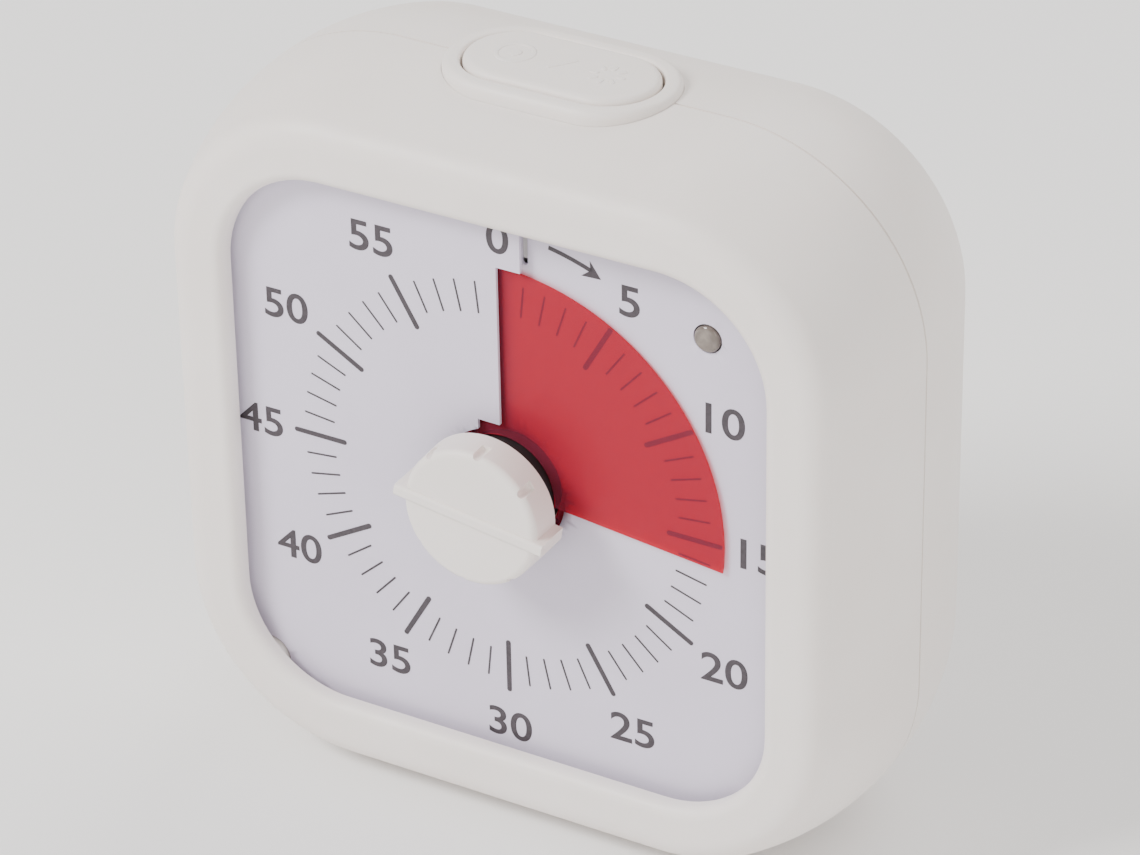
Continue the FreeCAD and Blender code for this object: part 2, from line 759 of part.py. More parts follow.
def build_spindle_shaft():
    front = knob_back_y - knob_socket_depth + 0.1
    shaft = rod(spindle_radius, front, cover_back_y - 0.4)
    groove = tube(spindle_radius + 1, spindle_radius - clip_groove_depth,
                  wheel_back_y + axial_play / 2, wheel_back_y + idler_level_gap - 0.3)
    return shaft.cut(groove)


def build_retaining_clip():
    y0 = wheel_back_y + axial_play
    y1 = y0 + 0.5
    clip = tube(bearing_boss_radius, spindle_radius - clip_groove_depth + push_fit, y0, y1)
    mouth = box(-1.2, 1.2, y0, y1, dial_z, dial_z + 2 * bearing_boss_radius)
    return clip.cut(mouth)


def build_clutch_washer():
    return tube(clutch_washer_radius, spindle_radius + push_fit, washer_front_y,
                washer_front_y + clutch_washer_thickness)


def build_spindle_bush():
    sleeve = rod(bush_radius, carrier_front_y + 0.1, movement_floor_y)
    flange = rod(bush_flange_radius, movement_floor_y, bush_flange_back_y)
    return fuse_all([sleeve, flange]).cut(rod(spindle_radius + running_fit, carrier_front_y, bush_flange_back_y))


# Board and light

def build_main_board():
    middle_z = (board_bottom + board_top) / 2
    board = plate(board_width, board_top - board_bottom, 2.0, board_front_y, board_back_y, 0, middle_z)
    for x in (-board_post_x, board_post_x):
        for z in (board_post_low, board_post_high):
            board = board.cut(rod(board_screw_radius + running_fit, board_front_y, board_back_y, x, z))
    for side in (-1, 1):
        board = board.cut(rod(light_leg_radius + push_fit, board_front_y, board_back_y,
                              light_x + side * light_leg_spacing, dial_z + light_up))
    return board


def build_board_parts():
    middle_z = (board_bottom + board_top) / 2
    half = chip_size / 2
    chip = box(-half, half, board_back_y, board_back_y + chip_height, middle_z - half, middle_z + half)
    capacitor = rod(capacitor_radius, board_back_y, board_back_y + capacitor_height, -2 * chip_size, middle_z)
    crystal = box(chip_size, chip_size + crystal_width, board_back_y, board_back_y + chip_height,
                  middle_z - half, middle_z + half)
    return Part.makeCompound([chip, capacitor, crystal])


def light_place():
    clock = math.degrees(math.atan2(light_x, light_up))
    return dial_z + light_up, card_start_y - sheet_pitch * clock / 360 - card_thickness / 2


def build_signal_light():
    light_z, card_face_y = light_place()
    tip = card_face_y - light_dome_proud
    body = rod(light_radius, tip, carrier_back_y, light_x, light_z)
    body = body.makeFillet(light_dome_proud, edges_at(body, lambda e: e.BoundBox.YMax < tip + 1e-4))
    flange = rod(light_flange_radius, carrier_back_y, carrier_back_y + light_flange_thickness, light_x, light_z)
    return fuse_all([body, flange])


def build_light_legs():
    light_z, _ = light_place()
    start = carrier_back_y + light_flange_thickness
    return Part.makeCompound([rod(light_leg_radius, start, board_back_y + 0.6,
                                  light_x + side * light_leg_spacing, light_z) for side in (-1, 1)])


# Top button

def build_top_button():
    length = collar_length - 2 * collar_rim - 2 * button_gap
    width = collar_width - 2 * collar_rim - 2 * button_gap
    collar_bottom_z = collar_flange_top_z - collar_flange_thickness
    flange_top_z = collar_bottom_z - 0.15
    flange_bottom_z = flange_top_z - button_flange_thickness
    cap = pill(length, width, flange_bottom_z, button_top_z)
    cap = cap.makeFillet(button_edge_radius, edges_at(cap, lambda e: e.BoundBox.ZMin > button_top_z - 1e-4))
    flange = pill(length + 2 * (button_skirt + button_gap), width + 2 * (button_skirt + button_gap),
                  flange_bottom_z, flange_top_z)
    stem = Part.makeCylinder(button_stem_radius, flange_bottom_z - plunger_top_z(), V(0, button_stem_y,
                                                                                     plunger_top_z()))
    return fuse_all([cap, flange, stem])


def plunger_top_z():
    return board_top + plunger_proud


def build_switch_plunger():
    return Part.makeCylinder(plunger_radius, plunger_proud + button_travel,
                             V(0, button_stem_y, board_top - button_travel))


def build_tact_switch():
    body = box(-switch_width / 2, switch_width / 2, board_front_y - switch_depth, board_front_y,
               board_top - switch_height, board_top)
    well = Part.makeCylinder(plunger_radius + 0.1, 2 * button_travel + 0.4,
                             V(0, button_stem_y, board_top - 2 * button_travel - 0.4))
    return body.cut(well)


# Speaker and slider

def build_speaker_frame():
    front = rear_inside_y - speaker_depth
    magnet = rod(magnet_radius, front - magnet_depth, front, 0, speaker_z)
    basket = rod(speaker_radius, front, rear_inside_y, 0, speaker_z)
    basket = basket.cut(rod(speaker_radius - 1.2, front + 1.6, rear_inside_y, 0, speaker_z))
    return fuse_all([basket, magnet])


def build_speaker_cone():
    back = rear_inside_y - 0.9
    deep = back - 1.8
    outer = Part.makeCone(3.0, speaker_radius - 1.4, back - deep, V(0, deep, speaker_z), V(0, 1, 0))
    inner = Part.makeCone(2.7, speaker_radius - 1.7, back - deep, V(0, deep + 0.3, speaker_z), V(0, 1, 0))
    rim = tube(speaker_radius - 1.25, speaker_radius - 1.9, back - 0.1, back + 0.3, 0, speaker_z)
    coil = rod(2.4, rear_inside_y - speaker_depth + 1.6, deep + 0.1, 0, speaker_z)
    return fuse_all([outer.cut(inner), rim, coil])


def build_slide_switch():
    front = rear_inside_y - slide_switch_depth
    half_x = slide_switch_width / 2
    half_z = slide_switch_height / 2
    body = box(slider_x - half_x, slider_x + half_x, front, rear_inside_y, slider_z - half_z, slider_z + half_z)
    slot_half_z = slider_height / 2 + slider_travel + slider_clearance
    slot_half_x = slider_width / 2 + slider_clearance
    return body.cut(box(slider_x - slot_half_x, slider_x + slot_half_x, rear_inside_y - 1.6, rear_inside_y,
                        slider_z - slot_half_z, slider_z + slot_half_z))


def build_volume_slider():
    top = back_depth + slider_proud
    knob = box(slider_x - slider_width / 2, slider_x + slider_width / 2, rear_inside_y - 1.3, top,
               slider_z - slider_height / 2, slider_z + slider_height / 2)
    knob = knob.makeFillet(0.35, edges_at(knob, lambda e: e.BoundBox.YMin > top - 1e-4))
    for side in (-1, 0, 1):
        knob = knob.cut(box(slider_x - slider_width, slider_x + slider_width, top - 0.35, top + 1,
                            slider_z + side - 0.2, slider_z + side + 0.2))
    return knob


# Battery box

def cell_heights():
    step = cell_radius + cell_gap / 2
    return [(tray_centre_z + step, 1), (tray_centre_z - step, -1)]


def build_battery_tray():
    outer = box(-cell_room_length / 2 - tray_wall, cell_room_length / 2 + tray_wall, tray_front_y, rear_inside_y,
                tray_centre_z - cell_room_height / 2 - tray_wall, tray_centre_z + cell_room_height / 2 + tray_wall)
    room = box(-cell_room_length / 2, cell_room_length / 2, tray_front_y + tray_wall, rear_inside_y,
               tray_centre_z - cell_room_height / 2, tray_centre_z + cell_room_height / 2)
    return outer.cut(room)


def build_cell(index):
    z, side = cell_heights()[index]
    plate_face = side * (cell_room_length / 2 - contact_plate_thickness)
    start = plate_face - side * cell_nub_length
    body = Part.makeCylinder(cell_radius, cell_length, V(start, cell_y, z), V(-side, 0, 0))
    body = body.makeFillet(0.5, edges_at(body, lambda e: e.Length > 6 * cell_radius))
    nub = Part.makeCylinder(cell_nub_radius, cell_nub_length, V(plate_face, cell_y, z), V(-side, 0, 0))
    return fuse_all([body, nub])


def build_battery_plates():
    plates = []
    half = contact_plate_size / 2
    for z, side in cell_heights():
        face = side * cell_room_length / 2
        inner = face - side * contact_plate_thickness
        plates.append(box(min(face, inner), max(face, inner), cell_y - half, cell_y + half, z - half, z + half))
    return Part.makeCompound(plates)


def arc_between(start, corner, end):
    """Arc that leaves start towards the corner and comes to end from it. Both legs are as long."""
    middle = (start + end) * 0.5
    rise = (corner - middle).Length
    half = (end - start).Length / 2
    lift = half * math.tan(math.atan2(rise, half) / 2)
    return Part.Arc(start, middle + (corner - middle) * (lift / rise), end).toShape()


def biarc(start, start_way, end, end_way):
    """Two arcs that meet smoothly and keep both end directions."""
    gap = end - start
    spread = 2 * (1 - start_way.dot(end_way))
    along = gap.dot(start_way + end_way)
    reach = (math.sqrt(along * along + spread * gap.dot(gap)) - along) / spread
    first = start + start_way * reach
    second = end - end_way * reach
    joint = (first + second) * 0.5
    return [arc_between(start, first, joint), arc_between(joint, second, end)]


def spring_point(step, height):
    """Place and direction on a coil that narrows as it rises, four steps to a turn."""
    steps = 4 * spring_turns
    turn = math.pi / 2 * step
    narrow = (spring_tip_radius - spring_radius) / steps
    radius = spring_radius + narrow * step
    place = V(radius * math.cos(turn), radius * math.sin(turn), height * step / steps)
    slope = narrow / (math.pi / 2)
    way = V(slope * math.cos(turn) - radius * math.sin(turn),
            slope * math.sin(turn) + radius * math.cos(turn), height / steps / (math.pi / 2))
    return place, way.normalize()


def build_battery_springs():
    springs = []
    room = cell_room_length - contact_plate_thickness - cell_nub_length - cell_length
    height = room - 2 * spring_wire_radius - 2 * spring_seat_gap
    for z, side in cell_heights():
        arcs = []
        for step in range(4 * spring_turns):
            arcs += biarc(*spring_point(step, height), *spring_point(step + 1, height))
        place, way = spring_point(0, height)
        circle = Part.Wire(Part.makeCircle(spring_wire_radius, place, way))
        wire = Part.Wire(arcs).makePipeShell([circle], True, False)
        wire.rotate(V(0, 0, 0), V(0, 1, 0), side * 90)
        wire.translate(V(-side * (cell_room_length / 2 - spring_wire_radius - spring_seat_gap), cell_y, z))
        springs.append(wire)
    return Part.makeCompound(springs)


def build_battery_door():
    width = cell_room_length + 2 * door_margin - 2 * door_gap
    height = cell_room_height + 2 * door_margin - 2 * door_gap
    front = back_depth - door_thickness
    door = plate(width, height, door_corner - door_gap, front, back_depth, 0, tray_centre_z)
    lip_width = cell_room_length - 2 * door_gap
    lip_height = cell_room_height - 2 * door_gap
    lip = plate(lip_width, lip_height, 1.0, rear_inside_y, front, 0, tray_centre_z)
    door = fuse_all([door, lip])
    grip_z = tray_centre_z + height / 2 - 4.5
    grip = Part.makeSphere(door_grip_radius, V(0, back_depth + door_grip_radius - door_grip_depth, grip_z))
    return door.cut(grip)


# Fasteners

def screw(x, z, head_y, length, radius, head_radius, head_height):
    """Pan screw that points towards -Y, with its head's under face at head_y."""
    head = rod(head_radius, head_y, head_y + head_height, x, z)
    head = head.makeFillet(head_height / 3, edges_at(head, lambda e: e.BoundBox.YMin > head_y + head_height - 1e-4))
    shank = rod(radius, head_y - length, head_y, x, z)
    body = fuse_all([head, shank])
    slot = head_radius * 0.62
    thin = head_radius * 0.16
    cross = box(x - slot, x + slot, head_y + head_height * 0.45, head_y + head_height, z - thin, z + thin)
    cross = cross.fuse(box(x - thin, x + thin, head_y + head_height * 0.45, head_y + head_height,
                           z - slot, z + slot))
    return body.cut(cross)


def build_case_screws():
    head_y = back_depth - screw_recess_depth
    length = head_y - carrier_front_y + case_screw_depth - 0.2
    return Part.makeCompound([screw(x, z, head_y, length, case_screw_radius - push_fit,
                                    screw_head_radius, screw_head_height)
                              for x, z in corners(screw_post_offset)])


def build_movement_screws():
    head_y = carrier_back_y + ear_thickness
    return Part.makeCompound([screw(x, z, head_y, ear_thickness + carrier_thickness - 0.2,
                                    movement_screw_radius - push_fit, movement_screw_head, 1.0)
                              for x, z in movement_ears()])


def build_board_screws():
    places = [(x, z) for x in (-board_post_x, board_post_x) for z in (board_post_low, board_post_high)]
    return Part.makeCompound([screw(x, z, board_back_y, board_thickness + 4.0, board_screw_radius - push_fit,
                                    board_screw_head, 1.0) for x, z in places])


def build_idler_axle():
    x, z = idler_centre()
    return rod(axle_radius, carrier_back_y + 0.35, cover_back_y - 0.35, x, z)


def build_rotor_shaft():
    x, z = motor_centre()
    return rod(rotor_shaft_radius, idler_wheel_front_y - 0.4, cover_back_y + motor_length - 1.0, x, z)


def main():
    os.makedirs("parts", exist_ok=True)
    outer = pillow(0.0)
    inner = pillow(case_wall)
    nodes = {
        "front_case": build_front_case(outer, inner),
        "rear_case": build_rear_case(outer, inner),
        "button_collar": build_button_collar(),
        "dial_card": build_dial_card(),
        "dial_carrier": build_dial_carrier(),
        "movement_base": build_movement_base(),
        "movement_cover": build_movement_cover(),
        "spindle_bush": build_spindle_bush(),
        "idler_axle": build_idler_axle(),
        "stepper_motor": build_stepper_motor(),
        "main_board": build_main_board(),
        "board_parts": build_board_parts(),
        "tact_switch": build_tact_switch(),
        "signal_light": build_signal_light(),
        "light_legs": build_light_legs(),
        "speaker_frame": build_speaker_frame(),
        "speaker_cone": build_speaker_cone(),
        "slide_switch": build_slide_switch(),
        "battery_tray": build_battery_tray(),
        "battery_upper": build_cell(0),
        "battery_lower": build_cell(1),
        "battery_springs": build_battery_springs(),
        "battery_plates": build_battery_plates(),
        "case_screws": build_case_screws(),
        "movement_screws": build_movement_screws(),
        "board_screws": build_board_screws(),
        "time_knob": build_time_knob(),
        "spindle_shaft": build_spindle_shaft(),
        "disc_hub": build_disc_hub(),
        "spindle_wheel": build_spindle_wheel(),
        "clutch_washer": build_clutch_washer(),
        "retaining_clip": build_retaining_clip(),
        "time_disc": build_time_disc(),
        "idler_wheel": build_idler_wheel(),
        "motor_pinion": build_motor_pinion(),
        "rotor_shaft": build_rotor_shaft(),
        "top_button": build_top_button(),
        "switch_plunger": build_switch_plunger(),
        "volume_slider": build_volume_slider(),
        "battery_door": build_battery_door(),
    }
    for name, shape in nodes.items():
        shape.exportStep(os.path.join("parts", name + ".step"))
        print(name, len(shape.Solids), "solids", shape.isValid(), round(shape.Volume, 1))


main()
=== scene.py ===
import json
import math

import bpy
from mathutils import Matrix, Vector

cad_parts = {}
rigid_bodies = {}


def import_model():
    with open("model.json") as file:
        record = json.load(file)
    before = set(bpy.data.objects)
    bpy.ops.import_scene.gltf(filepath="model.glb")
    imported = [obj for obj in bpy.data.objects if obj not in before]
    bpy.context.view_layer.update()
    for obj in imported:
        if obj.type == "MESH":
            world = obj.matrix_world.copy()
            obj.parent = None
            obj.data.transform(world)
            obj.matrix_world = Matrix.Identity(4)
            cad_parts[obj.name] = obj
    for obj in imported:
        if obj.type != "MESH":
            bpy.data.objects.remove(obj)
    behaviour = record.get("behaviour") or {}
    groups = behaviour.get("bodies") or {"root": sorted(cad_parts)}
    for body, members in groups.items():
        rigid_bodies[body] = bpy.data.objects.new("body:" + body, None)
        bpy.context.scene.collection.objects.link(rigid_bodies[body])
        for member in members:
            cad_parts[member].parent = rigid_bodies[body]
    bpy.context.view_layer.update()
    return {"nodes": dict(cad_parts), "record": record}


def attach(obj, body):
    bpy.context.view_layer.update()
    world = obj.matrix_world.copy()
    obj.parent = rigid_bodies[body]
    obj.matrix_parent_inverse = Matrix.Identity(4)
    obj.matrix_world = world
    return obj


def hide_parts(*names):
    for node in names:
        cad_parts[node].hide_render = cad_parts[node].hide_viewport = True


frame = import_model()

mm = 0.001

# Camera: place and turn of the photograph's viewpoint, and the lens for a 36 mm sensor
camera_place = (229.3, -392.1, 314.8)
camera_turn = (58.984, 0.912, 29.753)
camera_lens = 155.5
sensor_width = 36.0
camera_near = 0.01
camera_far = 20

# Studio, in metres and watts: each light's name, place, side and power, then floor and room light
lights = (
    ("key", (-0.55, -0.60, 0.75), 0.35, 12.0),
    ("fill", (0.75, -0.55, 0.45), 0.7, 3.0),
    ("back", (0.1, 0.8, 0.7), 0.7, 5.0),
)
floor_side = 3.0
room_colour = (1.0, 0.975, 0.955, 1.0)
room_strength = 0.85

# The dial sheet climbs one pitch towards the front per clockwise turn
dial_z = 41.7
card_start_y = -12.9
card_thickness = 0.4
sheet_pitch = 1.2
print_lift = 0.01
print_thickness = 0.02

# Print on the dial
degrees_per_minute = 6
long_mark_inner = 19.4
long_mark_outer = 26.0
long_mark_width = 0.6
short_mark_inner = 20.9
short_mark_outer = 24.7
short_mark_width = 0.22
numeral_radius = 30.3
numeral_height = 3.64
numeral_bold = 0.012
numeral_widen = 1.15
zero_shift = 0.3
arrow_radius = 30.6
arrow_start = 10.7
arrow_end = 20.6
arrow_width = 0.5
arrow_tip = (30.33, 23.0)
arrow_barbs = ((31.6, 19.5), (29.42, 18.9))
arrow_notch = (30.55, 20.3)

# Slot beside the card's tab
slot_left = 2.45
slot_right = 3.2
slot_foot = 27.3
slot_head = 33.0
slot_front_y = -13.6
slot_back_y = -12.4

# Marks raised on the push button
button_mark_height = 0.12
button_mark_clearance = 0.01
button_shoulder = 1.0
button_ring_radius = 2.0
button_ring_tube = 0.28
button_ring_x = -5.6
button_dot_radius = 0.75
button_slash_length = 3.6
button_slash_angle = 52
button_bar_rounding = 0.9
button_ray_x = 5.4
button_ray_inner = 1.0
button_ray_outer = 2.1
button_ray_count = 8

# How finely round shapes are divided
mark_sides = 20
slot_sides = 32
numeral_curve_steps = 8
arrow_steps = 16
ring_segments = 64
ring_tube_segments = 12
dot_segments = 24
dot_rings = 12
bar_edge_segments = 4

# Points closer than this, in mm, count as one point or as one height
cad_merge = 0.0005
numeral_merge = 0.001
same_height = 0.001

# Neighbouring faces that meet at less than this angle are shaded as one
card_smooth_angle = 30
button_smooth_angle = 35
button_mark_smooth_angle = 40

# Texture sizes in mm that the moulded plastics share
drift_size = 18
sheen_size = 2.5
grain_height = 0.012


# Small helpers

def hex_colour(text):
    """sRGB hex to the linear colour that shaders read."""
    channels = [int(text[i:i + 2], 16) / 255 for i in (1, 3, 5)]
    linear = [c / 12.92 if c <= 0.04045 else ((c + 0.055) / 1.055) ** 2.4 for c in channels]
    return (*linear, 1.0)


def active(piece):
    for thing in bpy.context.view_layer.objects:
        thing.select_set(False)
    piece.select_set(True)
    bpy.context.view_layer.objects.active = piece


def settle(piece):
    """Puts the piece's place into its mesh."""
    active(piece)
    bpy.ops.object.transform_apply(location=True, rotation=True, scale=True)
    return piece


def join(pieces):
    active(pieces[0])
    for piece in pieces:
        piece.select_set(True)
    bpy.ops.object.join()
    return bpy.context.view_layer.objects.active


def copied(piece):
    twin = piece.copy()
    twin.data = piece.data.copy()
    bpy.context.collection.objects.link(twin)
    return twin


def edit_all(piece, operator, **settings):
    """Runs one mesh operator on the whole of a piece."""
    active(piece)
    bpy.ops.object.mode_set(mode="EDIT")
    bpy.ops.mesh.select_all(action="SELECT")
    operator(**settings)
    bpy.ops.object.mode_set(mode="OBJECT")


def smooth(piece, angle):
    active(piece)
    bpy.ops.object.shade_smooth_by_angle(angle=math.radians(angle))


def merged_copy(name):
    """A copy of one piece of the frame with its loose triangles joined."""
    piece = copied(frame["nodes"][name])
    edit_all(piece, bpy.ops.mesh.remove_doubles, threshold=cad_merge * mm)
    return piece


def disc(sides, radius, x, z, front_y, back_y):
    """A flat cylinder that faces the front."""
    bpy.ops.mesh.primitive_cylinder_add(vertices=sides, radius=radius * mm, depth=(back_y - front_y) * mm,
                                        rotation=(math.radians(90), 0, 0),
                                        location=(x * mm, (front_y + back_y) / 2 * mm, z * mm))
    return settle(bpy.context.object)


def upright_bar(sides, left, right, foot, head, front_y, back_y):
    """A round-ended bar over the dial, its foot and head measured up from the dial's centre."""
    radius = (right - left) / 2
    foot_z = dial_z + foot + radius
    bar = disc(sides, radius, (left + right) / 2, foot_z, front_y, back_y)
    for vertex in bar.data.vertices:
        if vertex.co.z > (foot_z + same_height) * mm:
            vertex.co.z += (head - foot - 2 * radius) * mm
    return bar


def finish_piece(piece, name, material, body, slot, *nodes):
    """Names and paints a piece, hangs it on the body that carries it, and hides the CAD nodes it stands in
    for.
    """
    piece.name = name
    piece.data.name = name
    piece.data.materials.clear()
    piece.data.materials.append(material)
    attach(piece, body)
    if nodes:
        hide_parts(*nodes)


# Shader parts

def shader_node(tree, kind, values=None, feeds=None):
    """Adds one node with its socket values and incoming links."""
    node = tree.nodes.new(kind)
    for socket, value in (values or {}).items():
        node.inputs[socket].default_value = value
    for socket, source in (feeds or {}).items():
        tree.links.new(source, node.inputs[socket])
    return node


def new_material(name):
    material = bpy.data.materials.new(name)
    material.use_nodes = True
    material.node_tree.nodes.clear()
    return material, material.node_tree


def pattern_place(tree):
    """Where a pattern is read: the piece's own space, so that it moves with the piece."""
    return shader_node(tree, "ShaderNodeTexCoord").outputs["Object"]


def show(tree, shader):
    shader_node(tree, "ShaderNodeOutputMaterial", feeds={"Surface": shader.outputs[0]})


def noise(tree, place, size, detail):
    """Noise whose features are about that many millimetres."""
    return shader_node(tree, "ShaderNodeTexNoise", {"Scale": 1 / (size * mm), "Detail": detail},
                       {"Vector": place}).outputs["Fac"]


def two_tones(tree, pattern, low, low_tone, high, high_tone):
    """Blends from one tone to the other while the pattern climbs from low to high."""
    ramp = shader_node(tree, "ShaderNodeValToRGB", feeds={"Fac": pattern})
    start, end = ramp.color_ramp.elements
    start.position = low
    start.color = hex_colour(low_tone)
    end.position = high
    end.color = hex_colour(high_tone)
    return ramp.outputs["Color"]


def spread(tree, pattern, middle, reach):
    """A value that wanders with the pattern, by reach to either side of its middle."""
    return shader_node(tree, "ShaderNodeMapRange",
                       {"From Min": 0.3, "From Max": 0.7, "To Min": middle - reach, "To Max": middle + reach},
                       {"Value": pattern}).outputs["Result"]


def relief(tree, pattern, strength, height):
    """The pattern as a fine unevenness of the surface, its height in millimetres."""
    return shader_node(tree, "ShaderNodeBump", {"Strength": strength, "Distance": height * mm},
                       {"Height": pattern}).outputs["Normal"]


# Materials

def grained_plastic(name, colour, tone, roughness, grain, grain_strength, soft=0.0):
    """Injection-moulded plastic: a spark-eroded grain, and a tone that drifts a little over centimetres."""
    material, tree = new_material(name)
    place = pattern_place(tree)
    drift = noise(tree, place, drift_size, 3.0)
    sheen = noise(tree, place, sheen_size, 2.0)
    grit = noise(tree, place, grain, 2.0)
    plastic = shader_node(tree, "ShaderNodeBsdfPrincipled",
                          {"IOR": 1.53, "Subsurface Weight": soft, "Subsurface Scale": 1.0 * mm,
                           "Subsurface Radius": (1.0, 0.8, 0.6)},
                          {"Base Color": two_tones(tree, drift, 0.35, tone, 0.65, colour),
                           "Roughness": spread(tree, sheen, roughness, 0.04),
                           "Normal": relief(tree, grit, grain_strength, grain_height)})
    show(tree, plastic)
    return material


def plated_metal(name, colour, roughness, streak):
    """Plated or turned metal: a plain metal reflection broken by fine streaks from drawing or turning."""
    material, tree = new_material(name)
    place = pattern_place(tree)
    stretch = shader_node(tree, "ShaderNodeMapping", {"Scale": (1.0, 0.08, 1.0)}, {"Vector": place})
    lines = noise(tree, stretch.outputs["Vector"], streak, 3.0)
    metal = shader_node(tree, "ShaderNodeBsdfPrincipled",
                        {"Base Color": hex_colour(colour), "Metallic": 1.0},
                        {"Roughness": spread(tree, lines, roughness, 0.08),
                         "Normal": relief(tree, lines, 0.2, 0.005)})
    show(tree, metal)
    return material


def tinted_film():
    """Tinted polyester film: passes red light and hides the rest, with a smooth, faintly wavy glossy face."""
    material, tree = new_material("tinted polyester film")
    place = pattern_place(tree)
    wave = noise(tree, place, 14, 1.0)
    through = shader_node(tree, "ShaderNodeBsdfTransparent", {"Color": (0.88, 0.025, 0.04, 1.0)})
    face = shader_node(tree, "ShaderNodeBsdfPrincipled",
                       {"Base Color": hex_colour("#D06284"), "Roughness": 0.16, "IOR": 1.57},
                       {"Normal": relief(tree, wave, 0.25, 0.05)})
    edge = shader_node(tree, "ShaderNodeLayerWeight", {"Blend": 0.12})
    share = shader_node(tree, "ShaderNodeMapRange", {"To Min": 0.16, "To Max": 0.75},
                        {"Value": edge.outputs["Fresnel"]})
    mixed = shader_node(tree, "ShaderNodeMixShader", feeds={"Fac": share.outputs["Result"]})
    tree.links.new(through.outputs[0], mixed.inputs[1])
    tree.links.new(face.outputs[0], mixed.inputs[2])
    show(tree, mixed)
    return material


def printing_ink():
    """Screen-printed ink: dark warm grey, a matt film with slightly uneven cover."""
    material, tree = new_material("screen-printed ink")
    place = pattern_place(tree)
    cover = two_tones(tree, noise(tree, place, 0.4, 2.0), 0.3, "#3A3439", 0.7, "#463F45")
    matt = shader_node(tree, "ShaderNodeBsdfPrincipled", {"Roughness": 0.55}, {"Base Color": cover})
    show(tree, matt)
    return material


def epoxy_lens():
    """Cast epoxy of a diffused indicator light: smoky and glossy, with a hazy body."""
    material, tree = new_material("cast epoxy lens")
    place = pattern_place(tree)
    haze = two_tones(tree, noise(tree, place, 1.2, 2.0), 0.35, "#6F635A", 0.7, "#9A8E83")
    epoxy = shader_node(tree, "ShaderNodeBsdfPrincipled",
                        {"Roughness": 0.12, "IOR": 1.54, "Transmission Weight": 0.25, "Coat Weight": 0.6,
                         "Coat Roughness": 0.05}, {"Base Color": haze})
    show(tree, epoxy)
    return material


# Warm white shell: its grain softens every highlight, so the rounded edges glow instead of shining
case_abs = grained_plastic("spark-grained moulded ABS", "#F3ECE7", "#F0E8E2", 0.50, 0.22, 0.5, soft=0.08)

# Cool pale sheet behind the print: nearly smooth, so it reads as printed card beside the warm case
card_sheet = grained_plastic("printed polypropylene sheet", "#DAD3E4", "#D6CEDF", 0.46, 0.35, 0.12)

# Neutral off-white of inner parts, plainer than the shell
inner_abs = grained_plastic("unpainted inner ABS", "#E4E2DE", "#DCDAD5", 0.50, 0.25, 0.3)

# Creamy and slightly waxy: wheels that run against each other
acetal = grained_plastic("machined-look moulded acetal", "#EFEEE8", "#E6E4DC", 0.38, 0.30, 0.1)

# Near black with a soft sheen: the hub in its dark gap
black_abs = grained_plastic("black moulded ABS", "#1E1D1F", "#262527", 0.48, 0.22, 0.4)

# Deep green and smooth: the circuit board's lacquer
solder_mask = grained_plastic("green solder mask laminate", "#1E5B34", "#194E2C", 0.32, 0.5, 0.1)

# Dull charcoal: the bodies of the board's parts
chip_epoxy = grained_plastic("moulded chip epoxy", "#26262A", "#1F1F22", 0.6, 0.15, 0.4)

# Dark blue-grey and glossy: the cells' tight sleeves
cell_film = grained_plastic("printed shrink sleeve", "#3A4352", "#343C49", 0.28, 0.6, 0.1)

# Cool bright metal with fine drawing lines: screws, springs and contact plates
nickel = plated_metal("nickel-plated steel", "#C9C7C2", 0.28, 0.12)

# Yellow metal with fine turning lines: the bush
turned_brass = plated_metal("turned brass", "#D8B56A", 0.30, 0.10)

film = tinted_film()
ink = printing_ink()
lens = epoxy_lens()

slot_materials = {
    "case_shell": case_abs,
    "card": card_sheet,
    "film": film,
    "carrier_plastic": inner_abs,
    "gear_plastic": acetal,
    "black_plastic": black_abs,
    "steel": nickel,
    "brass": turned_brass,
    "board": solder_mask,
    "components": chip_epoxy,
    "light_lens": lens,
    "cell_jacket": cell_film,
}


def dress_cad_nodes():
    for entry in frame["record"]["subparts"]:
        node = frame["nodes"][entry["node"]]
        node.data.materials.clear()
        node.data.materials.append(slot_materials[entry["material_slot"]])


# Print on the dial

def card_face_y(x, z, right_of_slit=False):
    """Depth of the card's printed face. The tab right of 12 o'clock belongs to the sheet's upper end."""
    clock = math.degrees(math.atan2(x, z - dial_z)) % 360
    if right_of_slit and x > 0:
        clock += 360
    return card_start_y - card_thickness / 2 - sheet_pitch * clock / 360


def lie_on_card(piece, on_tab=False):
    """Lays a flat print, modelled round y = 0, on the card."""
    for vertex in piece.data.vertices:
        x, y, z = vertex.co / mm
        vertex.co.y = (card_face_y(x, z, on_tab) - print_lift + y) * mm


def turned(piece, clock):
    """Turns a piece clockwise round the dial's centre."""
    turn = math.radians(clock)
    for vertex in piece.data.vertices:
        x = vertex.co.x
        z = vertex.co.z - dial_z * mm
        vertex.co.x = x * math.cos(turn) + z * math.sin(turn)
        vertex.co.z = dial_z * mm - x * math.sin(turn) + z * math.cos(turn)
    return piece


def minute_marks(name, minutes, width, inner, outer):
    """Round-ended strokes at the given minutes, as one piece."""
    first = upright_bar(mark_sides, -width / 2, width / 2, inner, outer, -print_thickness, 0)
    marks = join([turned(copied(first), degrees_per_minute * minute) for minute in minutes])
    bpy.data.objects.remove(first)
    lie_on_card(marks)
    finish_piece(marks, name, ink, "housing", "card")


